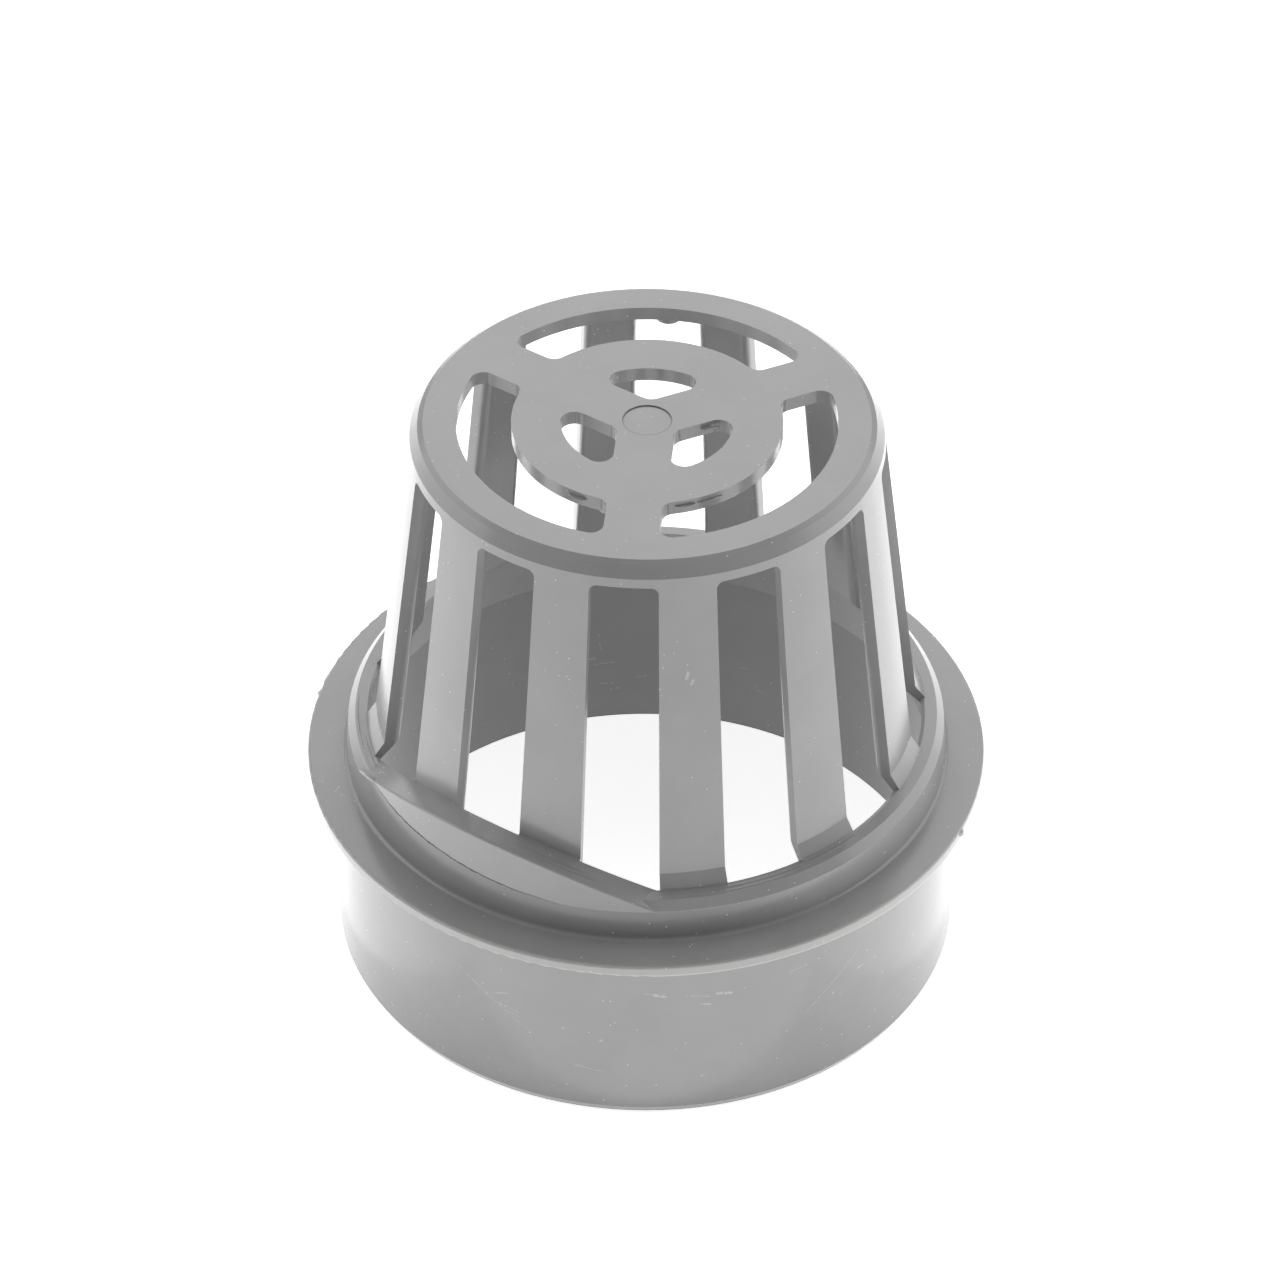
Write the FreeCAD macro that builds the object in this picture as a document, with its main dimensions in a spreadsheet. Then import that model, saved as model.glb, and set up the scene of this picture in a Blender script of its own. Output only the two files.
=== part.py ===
import FreeCAD, Part
import math
import os

import Sketcher

# Atrium grate: a dome grate moulded in one piece. A spigot drops into the drain pipe, a flange stops
# it, and a raised ring on the flange carries twelve bars that lean in to a slotted top plate.
# The origin is the centre of the spigot's lower end, +Z is up, and sizes are in millimetres.

os.makedirs("parts", exist_ok=True)
doc = FreeCAD.newDocument("atrium_grate")

# Driving dimensions. Heights named "rise" are above the flange's top face, angles are in degrees.
SIZES = {
    "flange_top": (38.4, "flange's top face above the spigot's lower end"),
    "flange_width": (4.6, "how far the flange stands out past the spigot"),
    "flange_thickness": (2.3, "thickness of the flange"),
    "flange_round": (0.5, "rounding of the flange's rim"),
    "spigot_radius": (55.0, "outer radius of the spigot, for a 110 mm socket"),
    "spigot_wall": (2.7, "wall of the spigot at its lower end"),
    "spigot_lead": (0.7, "lead-in chamfer round the lower end"),
    "bore_draft": (0.3, "how much the bore narrows towards its ledge"),
    "ledge_step": (1.7, "edge of the ledge outside the ring's inner edge"),
    "ledge_drop": (3.2, "edge of the ledge below the flange's top face"),
    "ledge_slope": (1.4, "height of the ledge's sloping underside"),
    "ring_inset": (2.1, "foot of the raised ring inside the spigot's outer face"),
    "ring_draft": (0.6, "how much the ring narrows up to its edge"),
    "ring_rise": (7.5, "flat top of the ring"),
    "lip_drop": (1.5, "outer edge of the ring below its flat top"),
    "ring_lip": (1.3, "width of the sloping lip inside that edge"),
    "ring_fillet": (0.6, "fillet between the flange and the ring"),
    "ring_width": (4.6, "width from the ring's foot to the inner edge of its top"),
    "mouth_step": (0.6, "width of the fine step at that edge"),
    "mouth_depth": (0.2, "depth of the fine step"),
    "dome_inset": (0.7, "outer face of the bars inside that edge, level with the ring's top"),
    "dome_draft": (7.12, "lean of the bars"),
    "dome_wall": (3.05, "thickness of the bars and the wall above them, measured level"),
    "bar_count": (12, "bars round the dome"),
    "bar_angle": (13.6, "share of the circle that one bar takes"),
    "bar_turn": (9.6, "direction of the first bar"),
    "bar_round": (1.5, "rounding of the bars' inner edges"),
    "foot_flare": (1.5, "how far a bar's foot stands out on the ring"),
    "foot_rise": (2.6, "height over which the foot flares out"),
    "foot_sunk": (0.6, "how far a bar's root reaches into the ring"),
    "bevel_rise": (3.3, "lower end of a bar's inner face above the ring's top"),
    "bevel_angle": (47.0, "slope of the bevel under a bar's inner face"),
    "window_drop": (4.05, "upper edge of the windows below the flat top of the dome"),
    "window_round": (1.4, "radius of the windows' upper corners"),
    "top_rise": (70.15, "flat top of the dome"),
    "shoulder_drop": (2.4, "upper end of the leaning wall below that top"),
    "rim_inset": (1.37, "width of the sloping shoulder"),
    "rim_drop": (0.55, "upper end of the sloping shoulder below the top"),
    "top_inset": (0.9, "width of the flatter slope round the flat top"),
    "plate_thickness": (2.5, "thickness of the top plate"),
    "plate_fillet": (1.2, "fillet between the plate's underside and the wall"),
    "spoke_count": (3, "spokes across the top plate"),
    "spoke_width": (9.2, "width of a spoke between two slots"),
    "spoke_turn": (25.0, "direction of the first spoke"),
    "slot_margin": (5.6, "rim of the flat top outside the curved slots"),
    "slot_breadth": (9.3, "breadth of the curved slots"),
    "slot_round": (2.2, "radius of the slots' corners"),
    "eye_outer": (14.6, "outer radius of the three inner holes"),
    "eye_web": (9.5, "web between two inner holes"),
    "eye_round": (2.4, "radius of the inner holes' corners"),
    "gate_radius": (4.15, "radius of the round moulding mark"),
    "gate_depth": (0.2, "depth of the round moulding mark"),
    "bank_turn": (234.8, "direction in which the ring is highest"),
    "bank_angle": (84.0, "share of the circle that is drawn for that higher bank of the ring"),
    "bank_height": (7.0, "top of the bank above the ring, at its middle"),
    "bank_arch": (62.9, "radius of the arch that the bank's top follows"),
    "bank_round": (0.4, "rounding of the bank's outer edge"),
    "pip_turn": (83.9, "direction of the round moulding pip under the top plate"),
    "pip_radius": (2.15, "radius of the pip"),
    "pip_setback": (0.5, "side of the pip behind the edge of the slot next to it"),
    "pip_depth": (1.2, "how far the pip hangs below the plate"),
}

sheet = doc.addObject("Spreadsheet::Sheet", "dims")
for row, (alias, (size, meaning)) in enumerate(SIZES.items(), start=1):
    sheet.set(f"A{row}", str(size))
    sheet.setAlias(f"A{row}", alias)
    sheet.set(f"B{row}", meaning)
doc.recompute()

grate = doc.addObject("PartDesign::Body", "grate")
grate.Label = "grate"
grate.Placement = FreeCAD.Placement()
# The ring of bars and the top plate are drawn by themselves, and then joined on as one moulding.
bar_ring = doc.addObject("PartDesign::Body", "bar_ring")
bank = doc.addObject("PartDesign::Body", "bank")
top_plate = doc.addObject("PartDesign::Body", "top_plate")

AXIS = "V_Axis"
TIP_TOLERANCE = 0.02
REACH = 70.0

# Sizes that follow from the sheet, as expressions. A place is a radius and a height.
FLANGE_TOP = "dims.flange_top"
RING_TOP = "dims.flange_top + dims.ring_rise"
RING_EDGE = f"{RING_TOP} - dims.lip_drop"
BANK_TOP = f"{RING_TOP} + dims.bank_height"
PLATE_TOP = "dims.flange_top + dims.top_rise"
UNDERSIDE = f"{PLATE_TOP} - dims.plate_thickness"
SHOULDER = f"{PLATE_TOP} - dims.shoulder_drop"
WINDOW_HEAD = f"{PLATE_TOP} - dims.window_drop"
BORE_RADIUS = "dims.spigot_radius - dims.spigot_wall"
FLANGE_RADIUS = "dims.spigot_radius + dims.flange_width"
RING_RADIUS = "dims.spigot_radius - dims.ring_inset"
MOUTH_RADIUS = f"{RING_RADIUS} - dims.ring_width"
LEDGE_RADIUS = f"{MOUTH_RADIUS} + dims.ledge_step"
DOME_RADIUS = f"{MOUTH_RADIUS} - dims.dome_inset"
FOOT_RADIUS = f"{DOME_RADIUS} + dims.foot_flare"
LEAN = "tan(dims.dome_draft * 1 deg)"


def dome_at(height):
    """Outer radius of the leaning wall at a height."""
    return f"{DOME_RADIUS} - ({height} - ({RING_TOP})) * {LEAN}"


def inner_at(height):
    """Inner radius of the leaning wall at a height."""
    return f"{dome_at(height)} - dims.dome_wall"


RIM_RADIUS = f"{dome_at(SHOULDER)} - dims.rim_inset"
TOP_RADIUS = f"{RIM_RADIUS} - dims.top_inset"
SLOT_OUTER = f"{TOP_RADIUS} - dims.slot_margin"
SLOT_INNER = f"{SLOT_OUTER} - dims.slot_breadth"


def value(expression):
    """Number that an expression gives for the sizes in the sheet."""
    result = grate.evalExpression(str(expression))
    return float(getattr(result, "Value", result))


def origin_plane(body, role):
    """One of a body's own origin planes or axes."""
    for feature in body.Origin.OriginFeatures:
        if feature.Role == role:
            return feature
    raise ValueError(role)


def new_sketch(body, name, role, turn=0.0, height=None):
    """Empty sketch on an origin plane, turned about the vertical axis or lifted to a height."""
    sketch = body.newObject("Sketcher::SketchObject", name)
    sketch.AttachmentSupport = [(origin_plane(body, role), "")]
    sketch.MapMode = "FlatFace"
    upright = role == "XZ_Plane"
    spin_axis = FreeCAD.Vector(0, 1, 0) if upright else FreeCAD.Vector(0, 0, 1)
    sketch.AttachmentOffset = FreeCAD.Placement(FreeCAD.Vector(), FreeCAD.Rotation(spin_axis, turn))
    if height is not None:
        sketch.setExpression("AttachmentOffset.Base.z", height)
    return sketch


def bind(sketch, kind, references, name, expression):
    """Dimension of a sketch that follows the sheet."""
    index = sketch.addConstraint(Sketcher.Constraint(kind, *references, value(expression)))
    sketch.renameConstraint(index, name)
    sketch.setExpression(f"Constraints.{name}", str(expression))


def draw_outline(sketch, places):
    """Closed outline of straight lines, with both coordinates of every corner bound to the sheet."""
    corners = [FreeCAD.Vector(value(x), value(y), 0) for x, y in places]
    for index, corner in enumerate(corners):
        following = corners[(index + 1) % len(corners)]
        sketch.addGeometry(Part.LineSegment(corner, following), False)
    for index, (x, y) in enumerate(places):
        before = (index - 1) % len(places)
        sketch.addConstraint(Sketcher.Constraint("Coincident", before, 2, index, 1))
        bind(sketch, "DistanceX", (-1, 1, index, 1), f"across_{index}", x)
        bind(sketch, "DistanceY", (-1, 1, index, 1), f"up_{index}", y)


def settle(body, feature, adds):
    """Recompute, and make sure that the feature changed its body the way it should."""
    body.Tip = feature
    doc.recompute()
    if "Invalid" in feature.State or feature.Shape.isNull():
        raise RuntimeError(f"{feature.Name} has no shape: {feature.State}")
    before = feature.BaseFeature.Shape.Volume if feature.BaseFeature is not None else 0.0
    change = feature.Shape.Volume - before
    grown = change if adds else -change
    if grown < TIP_TOLERANCE:
        raise RuntimeError(f"{feature.Name} changed the volume by {change:.4f}")
    return feature


def revolve(body, name, places, turn=0.0, angle="360"):
    """Solid turned about the vertical axis, centred on the direction of its outline."""
    sketch = new_sketch(body, f"{name}_outline", "XZ_Plane", turn)
    draw_outline(sketch, places)
    feature = body.newObject("PartDesign::Revolution", name)
    feature.Profile = sketch
    feature.ReferenceAxis = (sketch, [AXIS])
    feature.Midplane = True
    feature.setExpression("Angle", angle)
    return settle(body, feature, adds=True)


def round_edges(body, name, radius, chosen):
    """Fillet on the edges of the present solid that a test picks."""
    base = body.Tip
    names = [f"Edge{number}" for number, edge in enumerate(base.Shape.Edges, start=1) if chosen(edge)]
    if not names:
        raise RuntimeError(f"{name} found no edge")
    feature = body.newObject("PartDesign::Fillet", name)
    feature.Base = (base, names)
    feature.setExpression("Radius", radius)
    body.Tip = feature
    doc.recompute()
    if "Invalid" in feature.State or not feature.Shape.isValid():
        raise RuntimeError(f"{name} failed on {len(names)} edges: {feature.State}")
    return feature


def repeat(body, name, originals, count):
    """Copies round the vertical axis, of some features or, with none named, of the body so far."""
    feature = body.newObject("PartDesign::PolarPattern", name)
    if originals:
        feature.Originals = originals
    else:
        feature.TransformMode = "Whole shape"
    feature.Axis = (origin_plane(body, "Z_Axis"), [""])
    feature.Angle = 360
    feature.setExpression("Occurrences", count)
    return feature


def ends(edge):
    """Radius and height of each end of an edge."""
    return [(math.hypot(vertex.X, vertex.Y), vertex.Z) for vertex in edge.Vertexes]


def near(first, second, slack=0.05):
    return abs(first - second) < slack


def ring_at(radius, *heights):
    """Test for the edges of a circle of one radius at one of some heights."""
    def test(edge):
        on_circle = all(near(place[0], radius) for place in ends(edge))
        level = any(all(near(place[1], height) for place in ends(edge)) for height in heights)
        return on_circle and level and edge.Length > 1
    return test


def wall_outline(top):
    """Section of a bar or of the bank from its root in the ring up to a height."""
    bevel_top = f"{RING_TOP} + dims.bevel_rise"
    root_radius = f"({FOOT_RADIUS} + dims.foot_sunk)"
    root_height = f"{bevel_top} - ({root_radius} - ({inner_at(bevel_top)})) * tan(dims.bevel_angle * 1 deg)"
    flare_top = f"{RING_TOP} + dims.foot_rise"
    return [
        (inner_at(bevel_top), bevel_top),
        (root_radius, root_height),
        (root_radius, f"{RING_TOP} - dims.foot_sunk"),
        (FOOT_RADIUS, RING_TOP),
        (dome_at(flare_top), flare_top),
        (dome_at(top), top),
        (inner_at(top), top),
    ]


def make_bar_ring():
    """One bar with its share of the wall above the windows, its edges rounded, repeated all round."""
    turn = value("dims.bar_turn")
    share = "360 / dims.bar_count"
    revolve(bar_ring, "wall", wall_outline(UNDERSIDE), turn, share)
    window = [("10", "0"), (f"{REACH}", "0"), (f"{REACH}", WINDOW_HEAD), ("10", WINDOW_HEAD)]
    for side, name in ((1, "window_after"), (-1, "window_before")):
        middle = value(f"dims.bar_turn + {side} * 180 / dims.bar_count")
        sketch = new_sketch(bar_ring, f"{name}_outline", "XZ_Plane", middle)
        draw_outline(sketch, window)
        groove = bar_ring.newObject("PartDesign::Groove", name)
        groove.Profile = sketch
        groove.ReferenceAxis = (sketch, [AXIS])
        groove.Midplane = True
        groove.setExpression("Angle", f"{share} - dims.bar_angle")
        settle(bar_ring, groove, adds=False)
    head_height = value(WINDOW_HEAD)
    wall = value("dims.dome_wall")

    def is_corner(edge):
        if len(edge.Vertexes) != 2:
            return False
        (first_radius, first_height), (second_radius, second_height) = ends(edge)
        level = near(first_height, head_height) and near(second_height, head_height)
        beside_bar = edge.CenterOfMass.z < head_height + 0.01
        bearing = math.degrees(math.atan2(edge.CenterOfMass.y, edge.CenterOfMass.x)) - turn
        at_bar = abs((bearing + 180) % 360 - 180) < value("dims.bar_angle") / 2 + 0.1
        return level and beside_bar and at_bar and near(abs(first_radius - second_radius), wall)

    round_edges(bar_ring, "window_corners", "dims.window_round", is_corner)
    lean = value(LEAN)
    base_radius = value(inner_at(RING_TOP))
    base_height = value(RING_TOP)
    lowest = value(f"{RING_TOP} + dims.bevel_rise") + 1

    def is_inner(edge):
        if len(edge.Vertexes) != 2:
            return False
        span = edge.LastParameter - edge.FirstParameter
        points = [edge.valueAt(edge.FirstParameter + span * share) for share in (0.0, 0.5, 1.0)]
        for point in points:
            expected = base_radius - (point.z - base_height) * lean
            if not near(math.hypot(point.x, point.y), expected, 0.02):
                return False
        return points[1].z > lowest and max(point.z for point in points) < head_height + 0.05

    limit = f"min(dims.bar_round; 0.9 * ({UNDERSIDE} - ({WINDOW_HEAD})))"
    round_edges(bar_ring, "bar_edges", limit, is_inner)
    settle(bar_ring, repeat(bar_ring, "bars", [], "dims.bar_count"), adds=True)


def ring_wall_at(height):
    """Outer radius of the ring's wall at a height, also where the bank carries it on upwards."""
    return f"{RING_RADIUS} - ({height} - ({FLANGE_TOP})) * dims.ring_draft / ({RING_EDGE} - ({FLANGE_TOP}))"


def mouth_at(height):
    """Inner radius of the ring's wall at a height, also where the bank carries it on upwards."""
    mouth_height = f"({RING_TOP} - dims.mouth_depth)"
    fall = "dims.ledge_step / (dims.ring_rise - dims.mouth_depth + dims.ledge_drop)"
    return f"{MOUTH_RADIUS} - ({height} - {mouth_height}) * {fall}"


def make_bank():
    """Side on which the ring is higher. Its wall goes on upwards, and its top is an arch level with the bars."""
    turn = value("dims.bank_turn")
    low = f"{RING_TOP} - 2"
    high = f"{BANK_TOP} + 2"
    revolve(bank, "bank_wall", [
        (mouth_at(low), low),
        (ring_wall_at(low), low),
        (ring_wall_at(high), high),
        (mouth_at(high), high),
    ], turn, "dims.bank_angle")
    # The bars that stand in the bank are joined to it all the way up.
    half_wall = "dims.dome_wall / 2"
    bevel_top = f"{RING_TOP} + dims.bevel_rise"
    for number in range(int(value("dims.bar_count"))):
        bearing = value(f"dims.bar_turn + {number} * 360 / dims.bar_count")
        away = abs((bearing - turn + 180) % 360 - 180)
        if away + value("dims.bar_angle") / 2 > value("dims.bank_angle") / 2:
            continue
        revolve(bank, f"root_{number}", [
            (f"{inner_at(bevel_top)} + {half_wall}", bevel_top),
            (f"{mouth_at(RING_TOP)} + 1", RING_TOP),
            (f"{mouth_at(high)} + 1", high),
            (f"{inner_at(high)} + {half_wall}", high),
        ], bearing, "dims.bar_angle")
    sketch = new_sketch(bank, "bank_top_outline", "XZ_Plane", turn + 90)
    draw_arch(sketch, "dims.bank_arch", BANK_TOP, f"{high} + 1")
    pocket = bank.newObject("PartDesign::Pocket", "bank_top")
    pocket.Profile = sketch
    pocket.SideType = "Symmetric"
    pocket.Length = 4 * REACH
    settle(bank, pocket, adds=False)

    def is_outer_crest(edge):
        middle = edge.valueAt((edge.FirstParameter + edge.LastParameter) / 2)
        on_wall = near(math.hypot(middle.x, middle.y), value(ring_wall_at(str(middle.z))))
        return on_wall and edge.Length > 10 and middle.z > value(RING_TOP) + 3

    round_edges(bank, "bank_crest", "dims.bank_round", is_outer_crest)


def draw_arch(sketch, radius, crown, ceiling):
    """Region over an arch whose crown is on the vertical axis, up to a level ceiling."""
    half = f"{radius} * sin(45 * 1 deg)"
    centre_height = f"({crown}) - {radius}"
    x = value(half)
    centre = FreeCAD.Vector(0, value(centre_height), 0)
    left = centre + FreeCAD.Vector(-x, x, 0)
    right = centre + FreeCAD.Vector(x, x, 0)
    top = FreeCAD.Vector(0, value(crown), 0)
    above_left = FreeCAD.Vector(-x, value(ceiling), 0)
    above_right = FreeCAD.Vector(x, value(ceiling), 0)
    sketch.addGeometry(Part.Arc(left, top, right), False)
    sketch.addGeometry(Part.LineSegment(right, above_right), False)
    sketch.addGeometry(Part.LineSegment(above_right, above_left), False)
    sketch.addGeometry(Part.LineSegment(above_left, left), False)
    sketch.addConstraint(Sketcher.Constraint("Coincident", 0, 1, 1, 1))
    sketch.addConstraint(Sketcher.Constraint("Coincident", 1, 2, 2, 1))
    sketch.addConstraint(Sketcher.Constraint("Coincident", 2, 2, 3, 1))
    sketch.addConstraint(Sketcher.Constraint("Coincident", 3, 2, 0, 2))
    sketch.addConstraint(Sketcher.Constraint("Vertical", 1))
    sketch.addConstraint(Sketcher.Constraint("Horizontal", 2))
    sketch.addConstraint(Sketcher.Constraint("Vertical", 3))
    sketch.addConstraint(Sketcher.Constraint("PointOnObject", 0, 3, -2))
    bind(sketch, "Radius", (0,), "radius", radius)
    bind(sketch, "DistanceY", (-1, 1, 0, 3), "centre", centre_height)
    bind(sketch, "DistanceX", (2, 2, 2, 1), "width", f"2 * {half}")
    bind(sketch, "DistanceY", (-1, 1, 2, 1), "ceiling", ceiling)


def make_collar():
    """Spigot, flange and raised ring."""
    underside = f"{FLANGE_TOP} - dims.flange_thickness"
    ledge_edge = f"{FLANGE_TOP} - dims.ledge_drop"
    revolve(grate, "collar", [
        (BORE_RADIUS, "0"),
        ("dims.spigot_radius - dims.spigot_lead", "0"),
        ("dims.spigot_radius", "dims.spigot_lead * 2"),
        ("dims.spigot_radius", underside),
        (FLANGE_RADIUS, underside),
        (FLANGE_RADIUS, FLANGE_TOP),
        (RING_RADIUS, FLANGE_TOP),
        (f"{RING_RADIUS} - dims.ring_draft", RING_EDGE),
        (f"{RING_RADIUS} - dims.ring_draft - dims.ring_lip", RING_TOP),
        (f"{MOUTH_RADIUS} + dims.mouth_step", RING_TOP),
        (MOUTH_RADIUS, f"{RING_TOP} - dims.mouth_depth"),
        (LEDGE_RADIUS, ledge_edge),
        (f"{BORE_RADIUS} - dims.bore_draft", f"{ledge_edge} - dims.ledge_slope"),
    ])


def join_all():
    """The collar, the ring of bars and the top plate become one solid."""
    feature = grate.newObject("PartDesign::Boolean", "moulding")
    feature.Type = "Fuse"
    feature.setObjects([bank, bar_ring, top_plate])
    settle(grate, feature, adds=True)
    plate = value(UNDERSIDE)
    wall = value(inner_at(UNDERSIDE))
    round_edges(grate, "plate_foot", "dims.plate_fillet", ring_at(wall, plate))


def make_top_plate():
    """Top plate with the leaning wall and the sloping shoulder round it."""
    revolve(top_plate, "cap", [
        ("0", UNDERSIDE),
        (dome_at(UNDERSIDE), UNDERSIDE),
        (dome_at(SHOULDER), SHOULDER),
        (RIM_RADIUS, f"{PLATE_TOP} - dims.rim_drop"),
        (TOP_RADIUS, PLATE_TOP),
        ("0", PLATE_TOP),
    ])


def draw_sector(sketch, outer, inner, web):
    """Outline between two lines half a web from their spokes, closed by an arc or by two."""
    half_angle = "(180 / dims.spoke_count)"
    half = math.radians(value(half_angle))
    gap = value(web) / 2

    def corner(radius, side):
        along = math.sqrt(radius ** 2 - gap ** 2)
        x = along * math.cos(half) + gap * math.sin(half)
        y = along * math.sin(half) - gap * math.cos(half)
        return FreeCAD.Vector(x, side * y, 0)

    tip = FreeCAD.Vector(gap / math.sin(half), 0, 0)
    lower_in = corner(value(inner), -1) if inner else tip
    upper_in = corner(value(inner), 1) if inner else tip
    lower_out = corner(value(outer), -1)
    upper_out = corner(value(outer), 1)
    sketch.addGeometry(Part.LineSegment(lower_in, lower_out), False)
    sketch.addGeometry(Part.LineSegment(upper_out, upper_in), False)
    arcs = [(outer, lower_out, upper_out)] + ([(inner, lower_in, upper_in)] if inner else [])
    for radius, low, high in arcs:
        middle = FreeCAD.Vector(value(radius), 0, 0)
        sketch.addGeometry(Part.Arc(low, middle, high), False)
    sketch.addConstraint(Sketcher.Constraint("Coincident", 0, 2, 2, 1))
    sketch.addConstraint(Sketcher.Constraint("Coincident", 1, 1, 2, 2))
    if inner:
        sketch.addConstraint(Sketcher.Constraint("Coincident", 0, 1, 3, 1))
        sketch.addConstraint(Sketcher.Constraint("Coincident", 1, 2, 3, 2))
    else:
        sketch.addConstraint(Sketcher.Constraint("Coincident", 0, 1, 1, 2))
    for number, (radius, low, high) in enumerate(arcs):
        sketch.addConstraint(Sketcher.Constraint("Coincident", 2 + number, 3, -1, 1))
        bind(sketch, "Radius", (2 + number,), f"radius_{number}", radius)
    bind(sketch, "Distance", (-1, 1, 0), "lower_gap", f"{web} / 2")
    bind(sketch, "Distance", (-1, 1, 1), "upper_gap", f"{web} / 2")
    bind(sketch, "Angle", (0, 1, -1, 1), "lower_angle", f"{half_angle} * 1 deg")
    bind(sketch, "Angle", (-1, 1, 1, 2), "upper_angle", f"{half_angle} * 1 deg")


def cut_top(name, outer, inner, web, corner_round):
    """Three alike openings in the top plate, between the spokes, with rounded corners."""
    between = value("dims.spoke_turn + 180 / dims.spoke_count")
    sketch = new_sketch(top_plate, f"{name}_outline", "XY_Plane", between, PLATE_TOP)
    draw_sector(sketch, outer, inner, web)
    pocket = top_plate.newObject("PartDesign::Pocket", name)
    pocket.Profile = sketch
    pocket.setExpression("Length", "dims.plate_thickness * 1.5")
    settle(top_plate, pocket, adds=False)
    settle(top_plate, repeat(top_plate, f"{name}s", [pocket], "dims.spoke_count"), adds=False)
    plate_top = value(PLATE_TOP)
    low = value(inner) if inner else 0
    high = value(outer)

    def at_corner(edge):
        if len(edge.Vertexes) != 2:
            return False
        (first_radius, first_height), (second_radius, second_height) = ends(edge)
        upright = near(first_radius, second_radius, 0.01) and near(
            abs(first_height - second_height), value("dims.plate_thickness"))
        from_top = near(max(first_height, second_height), plate_top)
        return upright and from_top and low - 0.1 < first_radius < high + 0.1

    round_edges(top_plate, f"{name}_corners", f"dims.{corner_round}", at_corner)


def round_profile(body, name, height, radius, turn=0.0, along="0"):
    """Circle at a height, on a bearing and at a distance from the middle."""
    sketch = new_sketch(body, f"{name}_outline", "XY_Plane", turn, height)
    centre = FreeCAD.Vector(value(along), 0, 0)
    sketch.addGeometry(Part.Circle(centre, FreeCAD.Vector(0, 0, 1), value(radius)), False)
    if along == "0":
        sketch.addConstraint(Sketcher.Constraint("Coincident", 0, 3, -1, 1))
    else:
        sketch.addConstraint(Sketcher.Constraint("PointOnObject", 0, 3, -1))
        bind(sketch, "DistanceX", (-1, 1, 0, 3), "along", along)
    bind(sketch, "Radius", (0,), "radius", radius)
    return sketch


def hang_pip():
    """Small round pip under the top plate, just behind the edge of a slot."""
    along = f"{SLOT_OUTER} + dims.pip_setback + dims.pip_radius"
    pad = grate.newObject("PartDesign::Pad", "pip")
    pad.Profile = round_profile(grate, "pip", UNDERSIDE, "dims.pip_radius", value("dims.pip_turn"), along)
    pad.Reversed = True
    pad.setExpression("Length", "dims.pip_depth")
    settle(grate, pad, adds=True)


def mark_gate():
    """Shallow round mark in the middle of the top plate."""
    pocket = top_plate.newObject("PartDesign::Pocket", "gate_mark")
    pocket.Profile = round_profile(top_plate, "gate", PLATE_TOP, "dims.gate_radius")
    pocket.setExpression("Length", "dims.gate_depth")
    settle(top_plate, pocket, adds=False)


def round_rims():
    """Roundings of the collar's turned edges: the flange's rim and the ring's foot."""
    top = value(FLANGE_TOP)
    underside = value(f"{FLANGE_TOP} - dims.flange_thickness")
    round_edges(grate, "flange_rim", "dims.flange_round", ring_at(value(FLANGE_RADIUS), top, underside))
    round_edges(grate, "ring_foot", "dims.ring_fillet", ring_at(value(RING_RADIUS), top))


make_bar_ring()
make_top_plate()
cut_top("slot", SLOT_OUTER, SLOT_INNER, "dims.spoke_width", "slot_round")
cut_top("eye", "dims.eye_outer", None, "dims.eye_web", "eye_round")
mark_gate()
make_bank()
make_collar()
round_rims()
join_all()
hang_pip()

doc.recompute()
for item in doc.Objects:
    if "Invalid" in item.State or "Error" in item.State:
        raise RuntimeError(f"{item.Name} failed: {item.State}")
shape = grate.Shape
if shape.isNull() or not shape.isValid() or len(shape.Solids) != 1:
    raise RuntimeError(f"{grate.Label}: {len(shape.Solids)} solids, valid {shape.isValid()}")
shape.exportStep(f"parts/{grate.Label}.step")
box = shape.BoundBox
print(grate.Label, "volume", round(shape.Volume, 1), "box", box.XLength, box.YLength, box.ZMin, box.ZMax)
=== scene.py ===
import math
import random

import bpy
from mathutils import Matrix, Vector


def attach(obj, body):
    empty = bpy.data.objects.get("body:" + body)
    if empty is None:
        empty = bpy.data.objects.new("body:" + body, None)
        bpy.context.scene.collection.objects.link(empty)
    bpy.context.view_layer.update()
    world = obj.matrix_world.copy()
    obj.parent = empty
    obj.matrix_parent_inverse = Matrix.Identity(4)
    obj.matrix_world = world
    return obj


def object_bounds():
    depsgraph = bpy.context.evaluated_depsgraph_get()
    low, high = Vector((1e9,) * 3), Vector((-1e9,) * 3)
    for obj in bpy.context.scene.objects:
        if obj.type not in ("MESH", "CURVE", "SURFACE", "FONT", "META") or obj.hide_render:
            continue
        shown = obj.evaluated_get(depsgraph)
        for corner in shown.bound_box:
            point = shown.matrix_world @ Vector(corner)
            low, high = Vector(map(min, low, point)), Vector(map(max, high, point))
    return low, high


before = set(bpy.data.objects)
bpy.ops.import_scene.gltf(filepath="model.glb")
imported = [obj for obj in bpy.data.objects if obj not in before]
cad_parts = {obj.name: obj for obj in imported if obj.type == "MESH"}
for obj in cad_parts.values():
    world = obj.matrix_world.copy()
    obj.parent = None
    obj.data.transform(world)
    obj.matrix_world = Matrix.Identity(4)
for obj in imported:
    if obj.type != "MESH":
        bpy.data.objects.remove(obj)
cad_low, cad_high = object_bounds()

# Atrium grate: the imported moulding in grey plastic, with the fine lines, flash and nicks that
# moulding and use have left on it, on a white floor with a lit table under it.

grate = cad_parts["grate"]

MM = 0.001
UP = Vector((0.0, 0.0, 1.0))


def near(level, *offsets):
    """Values in metres at offsets in mm from a radius or height of the moulding."""
    return [level + offset * MM for offset in offsets]


def in_radians(*degrees):
    return [math.radians(one) for one in degrees]


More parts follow.
